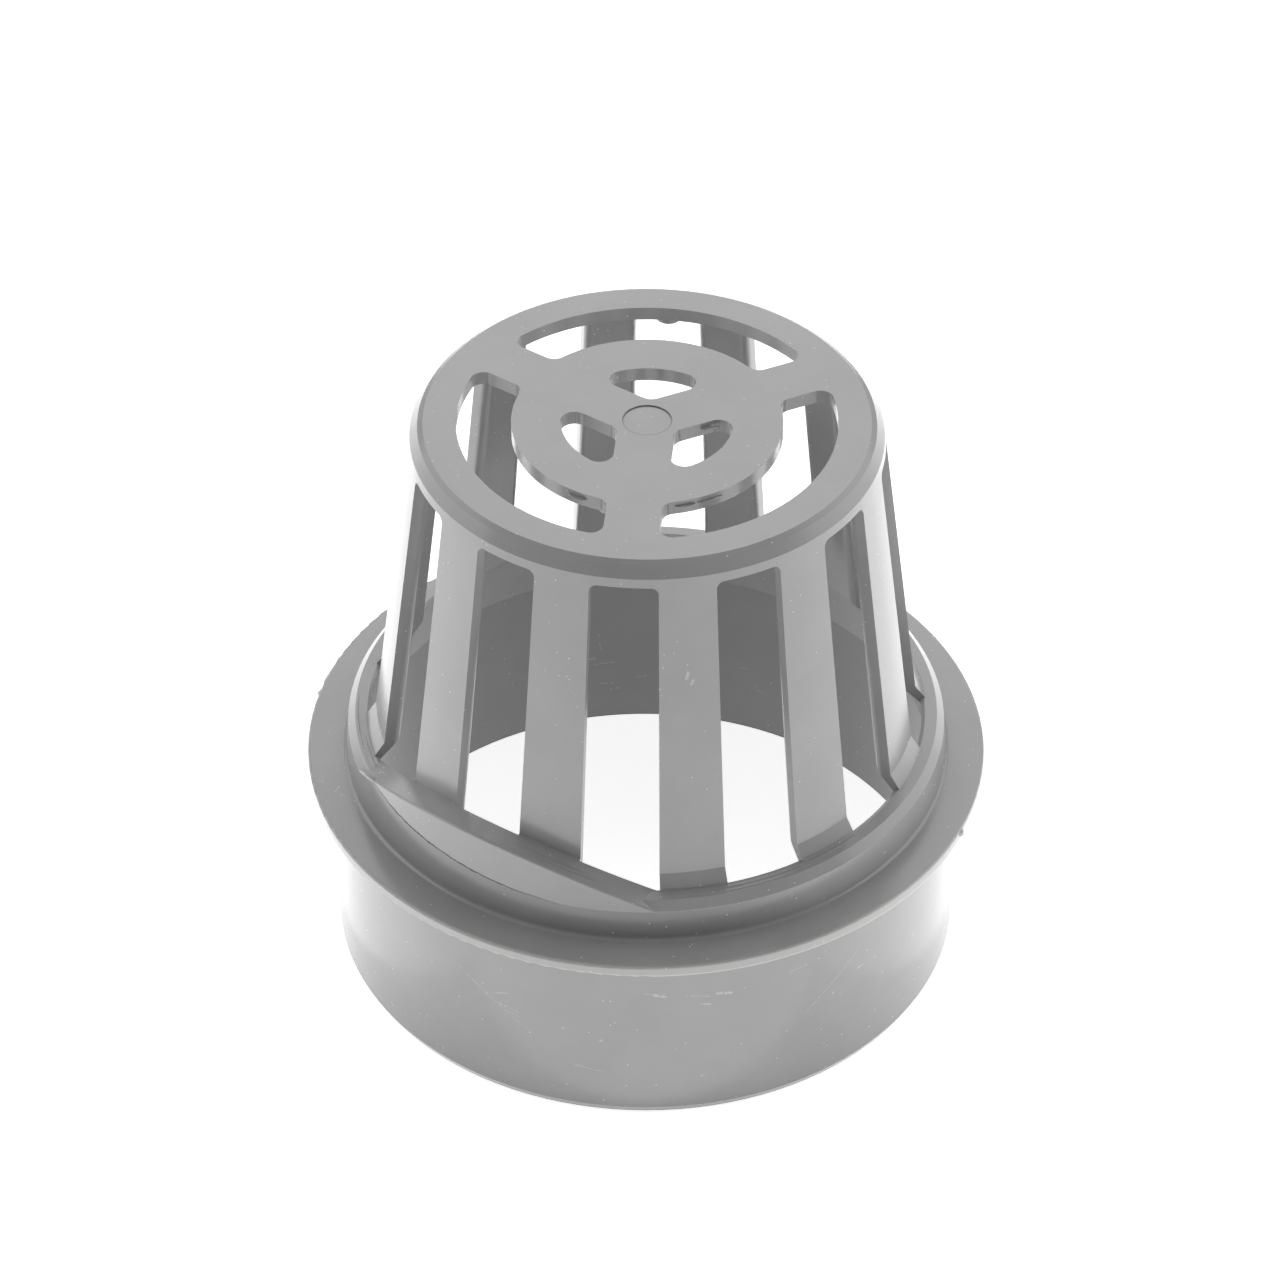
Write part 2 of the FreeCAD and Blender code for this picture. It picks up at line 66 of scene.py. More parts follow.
# The camera: lens and sensor in mm, the point it looks at and its distance from it in metres,
# elevation and roll in degrees, and how near and how far it sees in metres.
LENS, SENSOR_WIDTH = 152.8, 36.0
CAMERA_TARGET = (-0.00111, 0.0, 0.06073)
CAMERA_DISTANCE = 0.9438
CAMERA_ELEVATION, CAMERA_ROLL = 39.285, 0.148
CLIP_NEAR, CLIP_FAR = 0.01, 100.0

# Heights and radii of the moulding that the finish follows, in metres.
PLATE_TOP = cad_high[2]
FLANGE_RADIUS = (cad_high[0] - cad_low[0]) / 2
FLANGE_TOP = 38.4 * MM
FLANGE_UNDERSIDE = 36.1 * MM
GATE_RADIUS = 4.15 * MM
SPIGOT_RADIUS = 55.0 * MM
BORE_RADIUS = 52.2 * MM
BAR_RADIUS = 40.0 * MM
RING_OUTER = 52.3 * MM

# Limits of the masks. Two numbers are the start and end of one soft edge. Four are a band, which
# starts, is full, begins to fade, and is gone.
PLATE_FACE = near(PLATE_TOP, -0.5, -0.4)
RING_WALL = near(RING_OUTER, -1.2, -0.8, 0.6, 1.4)
RING_FOOT = near(FLANGE_TOP, 0.2, 1.2)
FLANGE_FACE = near(FLANGE_TOP, -0.2, -0.1, 0.3, 0.5)
# Where the painted highlights lie: a paler band round the flange's edge and a bright line at its
# lower corner.
RIM_HIGHLIGHT_REACH = near(FLANGE_RADIUS, -0.6, -0.1)
CORNER_HIGHLIGHT_REACH = near(FLANGE_RADIUS, -1.4, -0.3)
CORNER_HIGHLIGHT_HEIGHT = near(FLANGE_UNDERSIDE, 0.1, 0.8)
SPIGOT_WALL = near(SPIGOT_RADIUS, -0.4, -0.2)
SPIGOT_END = near(0.0, 35.0, 35.6)
BORE_WALL = near(BORE_RADIUS, 0.4, 0.8)
BORE_END = near(0.0, 30.0, 32.0)
BAR_START = near(0.0, 70.0, 72.0)
GATE_EDGE = near(0.0, 0.05, 0.17)

# The parting line on the bank: it falls from its left end to its right end, then runs level.
# Then the soft width of the painted dark line and how far it wanders, the soft edge of the painted
# shade on the wall below it, and the bearings over which the shade and the line show.
PARTING_LEFT, PARTING_RIGHT = in_radians(-152.0, -106.0)
PARTING_LOW = 44.3 * MM
PARTING_FALL = 3.1 * MM
PARTING_WIDTH = near(0.0, 0.04, 0.16)
PARTING_WANDER = 0.9 * MM
BELOW_EDGE = near(0.0, -0.1, 0.1)
BELOW_BEARINGS = in_radians(-172.0, -152.0, -80.0, -55.0)
PARTING_BEARINGS = in_radians(-158.0, -152.0, -122.0, -106.0)

# Noise in the plastic: scale, detail and roughness. It varies about its middle.
CLOUDS = (60.0, 4.0, 0.55)
GRAIN = (1100.0, 2.0, 0.6)
PARTING_NOISE = (700.0, 3.0, 0.5)
SCRATCH_NOISE = (1400.0, 2.0, 0.5)
NOISE_MIDDLE = 0.5

# How noise is used: the clouds' range for the colour, the same for the roughness with the values
# it runs between, and the range that breaks up scratches with the least and most that is left.
CLOUD_COLOUR = (0.3, 0.7)
CLOUD_ROUGHNESS = (0.25, 0.75, 0.17, 0.24)
SCRATCH_BREAKS = (0.38, 0.55, 0.25, 1.0)

# Colours of the plastic, of the marks on it, and of painted shade and highlights. A mark also has
# how far it covers the plastic.
PLASTIC_DARK = (0.350, 0.350, 0.357, 1)
PLASTIC_PALE = (0.378, 0.377, 0.381, 1)
# Painted shade on the ring's wall below the parting line, where the flange shades it.
SHADE_BELOW_PARTING = ((0.225, 0.226, 0.232, 1), 0.8)
# Painted shade along the parting line and round the edge of the gate mark.
GROOVE_SHADE = ((0.10, 0.10, 0.105, 1), 1.0)
# Painted highlights on the flange's outer edge and its lower corner.
RIM_HIGHLIGHT = ((0.50, 0.50, 0.485, 1), 0.75)
CORNER_HIGHLIGHT = ((0.68, 0.68, 0.66, 1), 0.6)
SCRATCHED = ((0.70, 0.70, 0.70, 1), 0.7)
FLECKED = ((0.72, 0.72, 0.72, 1), 0.85)
# How strong the painted shade is along the parting line and round the gate mark.
PARTING_STRENGTH, GATE_STRENGTH = 0.8, 0.6

# Dust flecks: cells to a metre, size within a cell, share of cells with a fleck.
FLECKS = {"Scale": 900.0, "Size": 0.17, "Amount": 0.11}

# Relief of the surface, as shares of the bump's depth, and how much duller marks are.
CLOUD_RELIEF, GRAIN_RELIEF, SCRATCH_RELIEF, FLECK_RELIEF = 0.16, 0.022, 0.08, 0.10
BUMP_STRENGTH, BUMP_DEPTH = 0.5, 0.6 * MM
MARK_DULLNESS = 0.25
PLASTIC_IOR = 1.53

# Scratches on the spigot: bearing in degrees, height and length in mm, slant in degrees, width in
# mm, and strength.
SPIGOT_SCRATCHES = [
    (-119.0, 21.0, 20.0, -34.0, 0.12, 0.45), (-116.9, 22.7, 3.9, 20.0, 0.14, 0.65),
    (-115.7, 19.9, 5.4, -12.0, 0.16, 0.80), (-114.6, 18.9, 4.2, -14.0, 0.10, 0.55),
    (-87.5, 27.5, 3.0, -12.0, 0.30, 0.95), (-88.6, 28.0, 4.6, -4.0, 0.10, 0.60),
    (-75.9, 26.8, 3.6, -8.0, 0.36, 0.90), (-79.3, 24.9, 2.4, -10.0, 0.22, 0.85),
    (-80.5, 26.9, 5.6, -9.0, 0.12, 0.60), (-61.7, 28.1, 4.6, 5.0, 0.14, 0.60),
    (-47.6, 21.4, 2.0, 0.0, 0.26, 0.85), (-98.0, 16.7, 0.8, 0.0, 0.30, 0.70),
    (-79.6, 8.3, 1.2, 30.0, 0.22, 0.70), (-100.6, 9.9, 7.4, -11.0, 0.10, 0.55),
    (-129.9, 2.9, 2.2, 88.0, 0.12, 0.50), (-56.0, 20.0, 12.0, 38.0, 0.10, 0.45),
    (-50.0, 24.5, 7.0, 42.0, 0.10, 0.50),
]
# Scratches on the pipe's inner wall, at the back, and a scuff on the front bar, in the same terms.
INNER_SCRATCHES = [
    (101.5, 14.3, 2.6, 0.0, 0.36, 0.70), (98.6, 12.9, 5.0, -4.0, 0.14, 0.60),
    (99.4, 17.1, 2.2, 80.0, 0.12, 0.50), (98.2, 8.0, 3.5, 3.0, 0.16, 0.60),
    (91.2, 9.1, 2.6, -8.0, 0.12, 0.50), (69.4, 13.9, 2.4, -6.0, 0.12, 0.50),
    (66.1, 9.5, 4.0, 4.0, 0.12, 0.50),
]
BAR_SCUFFS = [(-80.9, 87.3, 2.0, 78.0, 0.36, 0.70), (-79.8, 86.0, 1.5, 65.0, 0.30, 0.65)]
# Scratches on the flange's top: the same, with the radius in place of the height.
FLANGE_SCRATCHES = [
    (-165.6, 55.6, 2.2, 35.0, 0.20, 0.75), (-163.4, 55.0, 1.6, -40.0, 0.20, 0.75),
]

# Raised lines on the top of the ring, on its bank and at its foot on the flange: radius in mm,
# first and last bearing in degrees.
STEP_LINES = [
    (48.8, 273.0, 331.0), (49.7, 273.5, 322.0), (50.6, 274.0, 306.0), (49.5, 243.0, 259.0),
    (50.4, 246.0, 262.0), (49.6, 190.0, 206.0), (50.5, 176.0, 200.0), (53.6, 260.0, 286.0),
]
# Width and rise of those lines and of the line along the parting, then the jump in height that
# ends a stretch of each.
STEP_LINE_WIDTH, STEP_LINE_RISE, STEP_LINE_JUMP = 0.30 * MM, 0.15 * MM, 0.25 * MM
PARTING_RIDGE_WIDTH, PARTING_RIDGE_RISE, PARTING_JUMP = 0.22 * MM, 0.13 * MM, 0.6 * MM
# Points along a step line and along the parting line, how far the latter strays up or down, and
# the fewest points in a stretch that is kept.
STEP_LINE_POINTS, PARTING_POINTS = 91, 100
PARTING_STRAY = 0.11 * MM
SHORTEST_STRETCH = 5

# How deep a ridge and a flap sit in the moulding.
RIDGE_SINK, FLAP_SINK = 0.05 * MM, 0.3 * MM
# A ridge starts at a share of its size and grows to full size over a quarter of its length. Its
# crest varies between two shares.
RIDGE_START, RIDGE_GROWTH, RIDGE_CREST = 0.25, 3.0, (0.7, 1.15)
# A flap's edge has this many steps, bulges from near nothing at its ends, and is ragged between
# two shares of its reach.
FLAP_STEPS, FLAP_END, FLAP_RAGGED = 6, 0.08, (0.45, 1.0)

# Flash in the top plate's openings: a start on the plate in mm, a direction in degrees, then the
# width and reach of the ragged edge in mm.
FLASH = [
    (-10.0, -17.3, 240.0, 3.4, 1.0), (-5.6, -19.4, 256.0, 2.2, 0.9), (5.5, -19.2, 286.0, 3.4, 0.9),
    (9.1, -17.8, 297.0, 4.6, 0.8), (10.2, -0.8, 270.0, 4.0, 1.0), (6.2, 4.6, 75.0, 2.6, 0.9),
]
# How far below the plate's top the flash lies, and how thick it is.
FLASH_DEPTH, FLASH_THICKNESS = 0.9 * MM, 0.12 * MM

# Nicks that stand out from the flange's edge: bearing in degrees, width and reach in mm.
NICKS = [
    (336.2, 1.6, 0.7), (29.0, 1.4, 0.5), (163.5, 2.6, 0.6), (167.5, 2.0, 0.5), (158.0, 1.6, 0.4),
]
# How far in from the flange's edge and below its top a nick lies, and how thick it is.
NICK_INSET, NICK_DEPTH, NICK_THICKNESS = 0.15 * MM, 0.5 * MM, 0.7 * MM

# Lines that look for the moulding start this high over it, or this far out from its axis. The
# search for the plate's edge starts just over the plate and goes in steps. The edge is where the
# surface has dropped.
CAST_HEIGHT, CAST_RADIUS = 60.0 * MM, 80.0 * MM
EDGE_CAST_RISE, EDGE_STEP, EDGE_STEPS, EDGE_DROP = 5.0 * MM, 0.1 * MM, 120, 0.6 * MM

# The floor's half-width in metres, its colour, and the glow that the camera and reflections see
# on it. The gap puts it just below the moulding's foot, and the lit table as far above the foot.
FLOOR_REACH = 6.0
FLOOR_COLOUR = (0.8, 0.8, 0.8, 1)
FLOOR_GLOW = 0.8
FLOOR_GAP = 0.2 * MM
# The world's white, and how strongly it lights the object from all round.
WHITE = (1, 1, 1, 1)
WORLD_LIGHT = 0.3

# The lit table: how far it reaches, how far in front, the half-width of the pipe's patch in it,
# its brightness and the share of that brightness inside the pipe.
TABLE_REACH = 1.1
TABLE_FRONT = 0.45
TABLE_HOLE = 0.058
TABLE_GLOW = 0.78
PIPE_SHARE = 0.3

# Large soft lamps: name, place in metres and power in watts. They share a size in metres and a
# point that they aim at.
LAMPS = [
    ("side_left", (-1.2, 0.35, 0.6), 8.0),
    ("side_right", (1.2, 0.35, 0.6), 9.0),
    ("back", (0.0, 1.3, 1.0), 11.0),
]
LAMP_SIZE = 1.4
LAMP_TARGET = (0.0, 0.0, 0.05)


# Camera

def aim_camera():
    """Camera at the photograph's viewing angle, far off with a long lens."""
    data = bpy.data.cameras.new("camera")
    data.lens = LENS
    data.sensor_width = SENSOR_WIDTH
    data.clip_start, data.clip_end = CLIP_NEAR, CLIP_FAR
    camera = bpy.data.objects.new("camera", data)
    bpy.context.scene.collection.objects.link(camera)
    elevation = math.radians(CAMERA_ELEVATION)
    back = Vector((0.0, -math.cos(elevation), math.sin(elevation)))
    stand = Matrix.Translation(Vector(CAMERA_TARGET) + back * CAMERA_DISTANCE)
    turn = back.to_track_quat("Z", "Y").to_matrix().to_4x4()
    camera.matrix_world = stand @ turn @ Matrix.Rotation(math.radians(CAMERA_ROLL), 4, "Z")
    bpy.context.scene.camera = camera


# Node helpers

# The Mix node's two colours and its result, by number, because its kinds share the same names.
MIX_FIRST, MIX_SECOND, MIX_RESULT = 6, 7, 2


class Nodes:
    """Nodes of one material, world or group, added and linked in short calls."""

    def __init__(self, tree):
        self.tree = tree

    def add(self, kind, **settings):
        node = self.tree.nodes.new(kind)
        for key, setting in settings.items():
            setattr(node, key, setting)
        return node

    def link(self, start, end):
        self.tree.links.new(start, end)

    def feed(self, socket, given):
        """Connect a socket, or set it to a constant."""
        if isinstance(given, bpy.types.NodeSocket):
            self.link(given, socket)
        else:
            socket.default_value = given

    def math(self, operation, *given, clamp=False):
        node = self.add("ShaderNodeMath", operation=operation, use_clamp=clamp)
        for socket, one in zip(node.inputs, given):
            self.feed(socket, one)
        return node.outputs[0]

    def times(self, first, *others):
        """Product of several values."""
        for one in others:
            first = self.math("MULTIPLY", first, one)
        return first

    def ramp(self, given, low, high, bottom=0.0, top=1.0):
        """Smooth step of a value, from bottom at low to top at high."""
        node = self.add("ShaderNodeMapRange", interpolation_type="SMOOTHSTEP")
        for name, one in (("Value", given), ("From Min", low), ("From Max", high),
                          ("To Min", bottom), ("To Max", top)):
            self.feed(node.inputs[name], one)
        return node.outputs["Result"]

    def fade(self, given, low, high):
        """Mask that is 1 up to low and 0 from high on."""
        return self.ramp(given, low, high, 1.0, 0.0)

    def band(self, given, start, full, fading, gone):
        """Mask that is 1 from full to fading, and 0 before start and after gone."""
        return self.times(self.ramp(given, start, full), self.fade(given, fading, gone))

    def noise(self, vector, scale, detail, roughness):
        node = self.add("ShaderNodeTexNoise")
        for name, one in (("Vector", vector), ("Scale", scale), ("Detail", detail),
                          ("Roughness", roughness)):
            self.feed(node.inputs[name], one)
        return node.outputs["Fac"]

    def mix(self, share, first, second):
        """Colour between two colours."""
        node = self.add("ShaderNodeMix", data_type="RGBA")
        self.feed(node.inputs["Factor"], share)
        self.feed(node.inputs[MIX_FIRST], first)
        self.feed(node.inputs[MIX_SECOND], second)
        return node.outputs[MIX_RESULT]

    def mark(self, colour, mask, kind):
        """A colour with a kind of mark over it. A kind is the mark's colour and its cover."""
        mark_colour, cover = kind
        return self.mix(self.times(mask, cover), colour, mark_colour)


def fresh_nodes(owner):
    """Nodes of a material or world, with nothing in them yet."""
    owner.use_nodes = True
    owner.node_tree.nodes.clear()
    return Nodes(owner.node_tree)


FLOAT = "NodeSocketFloat"
VECTOR = "NodeSocketVector"


def new_group(name, inputs, outputs):
    """Empty node group with named sockets. Each socket is a name and a kind."""
    group = bpy.data.node_groups.new(name, "ShaderNodeTree")
    for label, kind in inputs:
        group.interface.new_socket(label, in_out="INPUT", socket_type=kind)
    for label, kind in outputs:
        group.interface.new_socket(label, in_out="OUTPUT", socket_type=kind)
    nodes = Nodes(group)
    start = nodes.add("NodeGroupInput")
    end = nodes.add("NodeGroupOutput")
    return group, nodes, start.outputs, end.inputs


def use_group(nodes, group, given):
    """Place a group in a material, with its inputs given by name."""
    node = nodes.add("ShaderNodeGroup", node_tree=group)
    for name, one in given.items():
        nodes.feed(node.inputs[name], one)
    return node.outputs


# Groups

def make_turned_place_group():
    """Radius, height and bearing of a point about the moulding's axis."""
    group, nodes, given, out = new_group(
        "turned_place", [("Place", VECTOR)],
        [("Radius", FLOAT), ("Height", FLOAT), ("Bearing", FLOAT)])
    parts = nodes.add("ShaderNodeSeparateXYZ")
    nodes.link(given["Place"], parts.inputs[0])
    x, y, z = parts.outputs
    squares = nodes.math("ADD", nodes.times(x, x), nodes.times(y, y))
    nodes.link(nodes.math("SQRT", squares), out["Radius"])
    nodes.link(z, out["Height"])
    nodes.link(nodes.math("ARCTAN2", y, x), out["Bearing"])
    return group


# Share of a scratch's width over which it is full, and the shares of its length, from its middle,
# where it begins to run out and ends.
SCRATCH_CORE = 0.4
SCRATCH_RUN_OUT, SCRATCH_END = 0.3, 0.5


def make_scratch_group():
    """One straight scratch on a turned face, unrolled to an along and an across direction."""
    group, nodes, given, out = new_group(
        "scratch",
        [(name, FLOAT) for name in ("Bearing", "Rise", "Face Radius", "At Bearing", "At Rise",
                                    "Length", "Slant", "Width")],
        [("Mask", FLOAT)])
    off = nodes.times(nodes.math("SUBTRACT", given["Bearing"], given["At Bearing"]),
                      given["Face Radius"])
    up = nodes.math("SUBTRACT", given["Rise"], given["At Rise"])
    slant_cos = nodes.math("COSINE", given["Slant"])
    slant_sin = nodes.math("SINE", given["Slant"])
    along = nodes.math("ADD", nodes.times(off, slant_cos), nodes.times(up, slant_sin))
    across = nodes.math("SUBTRACT", nodes.times(up, slant_cos), nodes.times(off, slant_sin))
    core = nodes.fade(nodes.math("ABSOLUTE", across), nodes.times(given["Width"], SCRATCH_CORE),
                      given["Width"])
    ends = nodes.fade(nodes.math("ABSOLUTE", along), nodes.times(given["Length"], SCRATCH_RUN_OUT),
                      nodes.times(given["Length"], SCRATCH_END))
    nodes.link(nodes.times(core, ends), out["Mask"])
    return group


# Share of a fleck's size over which it is full.
FLECK_CORE = 0.5


def make_fleck_group():
    """Sparse tiny flecks. Amount is the share of cells that hold one."""
    group, nodes, given, out = new_group(
        "flecks", [("Place", VECTOR), ("Scale", FLOAT), ("Size", FLOAT), ("Amount", FLOAT)],
        [("Mask", FLOAT)])
    cells = nodes.add("ShaderNodeTexVoronoi", feature="F1")
    nodes.link(given["Place"], cells.inputs["Vector"])
    nodes.link(given["Scale"], cells.inputs["Scale"])
    chance = nodes.add("ShaderNodeTexWhiteNoise")
    nodes.link(cells.outputs["Position"], chance.inputs["Vector"])
    dot = nodes.fade(cells.outputs["Distance"], nodes.times(given["Size"], FLECK_CORE),
                     given["Size"])
    shown = nodes.math("LESS_THAN", chance.outputs["Value"], given["Amount"])
    nodes.link(nodes.times(dot, shown), out["Mask"])
    return group


turned_place = make_turned_place_group()
scratch_group = make_scratch_group()
fleck_group = make_fleck_group()


# Plastic

def scratch_mask(nodes, bearing, rise, face_radius, rows):
    """The scratches of one face, each as strong as its row says."""
    total = 0.0
    for at_bearing, at_rise, length, slant, width, strength in rows:
        one = use_group(nodes, scratch_group, {
            "Bearing": bearing, "Rise": rise, "Face Radius": face_radius,
            "At Bearing": math.radians(at_bearing), "At Rise": at_rise * MM,
            "Length": length * MM, "Slant": math.radians(slant), "Width": width * MM})
        total = nodes.math("MAXIMUM", total, nodes.times(one["Mask"], strength))
    return total


def all_scratches(nodes, place, bearing, radius, height):
    """Scratches of the four faces that have any, broken up a little along their length."""
    on_spigot = nodes.times(nodes.ramp(radius, *SPIGOT_WALL), nodes.fade(height, *SPIGOT_END))
    in_bore = nodes.times(nodes.fade(radius, *BORE_WALL), nodes.fade(height, *BORE_END))
    on_bar = nodes.ramp(height, *BAR_START)
    on_flange = nodes.band(height, *FLANGE_FACE)
    scratches = 0.0
    for rows, rise, face_radius, face in (
            (SPIGOT_SCRATCHES, height, SPIGOT_RADIUS, on_spigot),
            (INNER_SCRATCHES, height, BORE_RADIUS, in_bore),
            (BAR_SCUFFS, height, BAR_RADIUS, on_bar),
            (FLANGE_SCRATCHES, radius, SPIGOT_RADIUS, on_flange)):
        mask = nodes.times(scratch_mask(nodes, bearing, rise, face_radius, rows), face)
        scratches = nodes.math("MAXIMUM", scratches, mask)
    return nodes.times(scratches, nodes.ramp(nodes.noise(place, *SCRATCH_NOISE), *SCRATCH_BREAKS))


def parting_masks(nodes, place, bearing, radius, height):
    """Masks of painted shade: the ring's outer wall below the parting line, at the front and left,
    and the line itself.
    """
    fallen = nodes.math("DIVIDE", nodes.math("SUBTRACT", PARTING_RIGHT, bearing),
                        PARTING_RIGHT - PARTING_LEFT, clamp=True)
    line_height = nodes.math("ADD", nodes.times(fallen, PARTING_FALL), PARTING_LOW)
    over = nodes.math("SUBTRACT", height, line_height)
    wall = nodes.band(radius, *RING_WALL)
    shade_below = nodes.times(nodes.fade(over, *BELOW_EDGE), nodes.ramp(height, *RING_FOOT),
                        nodes.band(bearing, *BELOW_BEARINGS), wall)
    uneven = nodes.math("SUBTRACT", nodes.noise(place, *PARTING_NOISE), NOISE_MIDDLE)
    wander = nodes.times(uneven, PARTING_WANDER)
    off = nodes.math("ABSOLUTE", nodes.math("ADD", over, wander))
    line = nodes.times(nodes.fade(off, *PARTING_WIDTH), nodes.band(bearing, *PARTING_BEARINGS),
                       wall)
    return shade_below, line


def gate_mask(nodes, radius, height):
    """Painted shade along the thin edge of the round gate mark on the top plate."""
    off = nodes.math("ABSOLUTE", nodes.math("SUBTRACT", radius, GATE_RADIUS))
    return nodes.times(nodes.fade(off, *GATE_EDGE), nodes.ramp(height, *PLATE_FACE))


def moulded_plastic():
    """Grey moulded plastic: glossy, faintly clouded and grained, with painted shade below and along
    the parting line and round the gate mark, painted highlights on the flange's edge, scratches and
    dust flecks."""
    material = bpy.data.materials.new("moulded_plastic")
    nodes = fresh_nodes(material)
    place = nodes.add("ShaderNodeTexCoord").outputs["Object"]
    turned = use_group(nodes, turned_place, {"Place": place})
    bearing, radius, height = turned["Bearing"], turned["Radius"], turned["Height"]
    clouds = nodes.noise(place, *CLOUDS)
    grain = nodes.noise(place, *GRAIN)

    # Painted shade on the wall below the parting line and along the line.
    shade_below, parting = parting_masks(nodes, place, bearing, radius, height)
    groove_shade = nodes.math("MAXIMUM", nodes.times(parting, PARTING_STRENGTH),
                        nodes.times(gate_mask(nodes, radius, height), GATE_STRENGTH))
    # Painted highlights on the flange's outer edge and its lower corner.
    rim_highlight = nodes.ramp(radius, *RIM_HIGHLIGHT_REACH)
    corner_highlight = nodes.times(nodes.fade(height, *CORNER_HIGHLIGHT_HEIGHT),
                                nodes.ramp(radius, *CORNER_HIGHLIGHT_REACH))
    scratches = all_scratches(nodes, place, bearing, radius, height)
    flecks = use_group(nodes, fleck_group, {"Place": place, **FLECKS})["Mask"]

    colour = nodes.mix(nodes.ramp(clouds, *CLOUD_COLOUR), PLASTIC_DARK, PLASTIC_PALE)
    for mask, kind in ((shade_below, SHADE_BELOW_PARTING), (groove_shade, GROOVE_SHADE), (rim_highlight, RIM_HIGHLIGHT),
                       (corner_highlight, CORNER_HIGHLIGHT), (scratches, SCRATCHED), (flecks, FLECKED)):
        colour = nodes.mark(colour, mask, kind)

    duller = nodes.times(nodes.math("MAXIMUM", scratches, flecks), MARK_DULLNESS)
    roughness = nodes.math("ADD", nodes.ramp(clouds, *CLOUD_ROUGHNESS), duller)

    relief = nodes.math("ADD", nodes.times(clouds, CLOUD_RELIEF), nodes.times(grain, GRAIN_RELIEF))
    relief = nodes.math("SUBTRACT", relief, nodes.times(scratches, SCRATCH_RELIEF))
    relief = nodes.math("ADD", relief, nodes.times(flecks, FLECK_RELIEF))
    bump = nodes.add("ShaderNodeBump")
    bump.inputs["Strength"].default_value = BUMP_STRENGTH
    bump.inputs["Distance"].default_value = BUMP_DEPTH
    nodes.link(relief, bump.inputs["Height"])

    shader = nodes.add("ShaderNodeBsdfPrincipled")
    nodes.link(colour, shader.inputs["Base Color"])
    nodes.link(roughness, shader.inputs["Roughness"])
    nodes.link(bump.outputs["Normal"], shader.inputs["Normal"])
    shader.inputs["IOR"].default_value = PLASTIC_IOR
    output = nodes.add("ShaderNodeOutputMaterial")
    nodes.link(shader.outputs["BSDF"], output.inputs["Surface"])
    return material


def paint(piece, material):
    piece.data.materials.clear()
    piece.data.materials.append(material)


# Fine raised lines, flash and nicks

def round_the_axis(bearing, radius, height):
    """Point at a bearing in degrees about the moulding's axis."""
    angle = math.radians(bearing)
    return Vector((radius * math.cos(angle), radius * math.sin(angle), height))


def on_moulding(start, heading):
    """Point and outward direction where a line from start meets the moulding, or None."""
    inward = grate.matrix_world.inverted()
    hit, point, normal, _ = grate.ray_cast(inward @ start, inward.to_3x3() @ heading)
    if not hit:
        return None
    return grate.matrix_world @ point, (grate.matrix_world.to_3x3() @ normal).normalized()


def from_above(bearing, radius):
    return on_moulding(round_the_axis(bearing, radius, CAST_HEIGHT), -UP)


def from_outside(bearing, height):
    start = round_the_axis(bearing, CAST_RADIUS, height)
    return on_moulding(start, -round_the_axis(bearing, 1.0, 0.0))


class Shape:
    """Small closed forms gathered into one mesh."""

    def __init__(self, seed):
        self.corners = []
        self.faces = []
        self.chance = random.Random(seed)

    def ridge(self, path, width, rise):
        """Raised line along a path on the surface. It runs out thin at both ends."""
        first = len(self.corners)
        last = len(path) - 1
        for i, (point, out) in enumerate(path):
            ahead = path[min(i + 1, last)][0] - path[max(i - 1, 0)][0]
            side = ahead.cross(out).normalized()
            share = min(1.0, RIDGE_START + RIDGE_GROWTH * min(i, last - i) / last)
            half = width / 2 * share
            crest = rise * share * self.chance.uniform(*RIDGE_CREST)
            self.corners += [point - side * half - out * RIDGE_SINK, point + out * crest,
                             point + side * half - out * RIDGE_SINK]
        for i in range(last):
            a, b = first + 3 * i, first + 3 * (i + 1)
            self.faces += [(a, a + 1, b + 1, b), (a + 1, a + 2, b + 2, b + 1), (a + 2, a, b, b + 2)]
        end = first + 3 * last
        self.faces += [(first, first + 2, first + 1), (end, end + 1, end + 2)]

    def flap(self, root, heading, width, reach, thickness):
        """Ragged thin flap that stands out level from an edge at root."""
        side = Vector((-heading.y, heading.x, 0.0))
        inner = root - heading * FLAP_SINK
        outline = [inner + side * width / 2, inner - side * width / 2]
        for i in range(FLAP_STEPS + 1):
            share = i / FLAP_STEPS
            bulge = math.sin(math.pi * (FLAP_END + (1 - 2 * FLAP_END) * share))
            length = reach * bulge * self.chance.uniform(*FLAP_RAGGED)
            outline.append(root + side * width * (share - 0.5) + heading * length)
        first, count = len(self.corners), len(outline)
        self.corners += outline + [corner - UP * thickness for corner in outline]
        self.faces.append(tuple(first + i for i in range(count)))
        self.faces.append(tuple(first + count + i for i in reversed(range(count))))
        for i in range(count):
            j = (i + 1) % count
            self.faces.append((first + j, first + i, first + count + i, first + count + j))

    def make(self, name, material):
        mesh = bpy.data.meshes.new(name)
        mesh.from_pydata([tuple(corner) for corner in self.corners], [], self.faces)
        mesh.update()
        piece = bpy.data.objects.new(name, mesh)
        bpy.context.scene.collection.objects.link(piece)
        paint(piece, material)
        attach(piece, "root")


def stretches_of(path, jump):
    """A path without its misses, cut where its height jumps. Very short stretches are left out."""
    stretches, current = [], []
    for spot in path:
        if spot and current and abs(spot[0].z - current[-1][0].z) > jump:
            stretches.append(current)
            current = []
        if spot:
            current.append(spot)
    return [one for one in stretches + [current] if len(one) >= SHORTEST_STRETCH]


def shares(count):
    """Even shares from 0 to 1."""
    return [i / (count - 1) for i in range(count)]


def add_step_lines(material):
    """Steps left by the mould round the ring."""
    shape = Shape(seed=7)
    for radius, start, stop in STEP_LINES:
        path = [from_above(start + (stop - start) * share, radius * MM)
                for share in shares(STEP_LINE_POINTS)]
        for stretch in stretches_of(path, STEP_LINE_JUMP):
            shape.ridge(stretch, STEP_LINE_WIDTH, STEP_LINE_RISE)
    shape.make("step_lines", material)


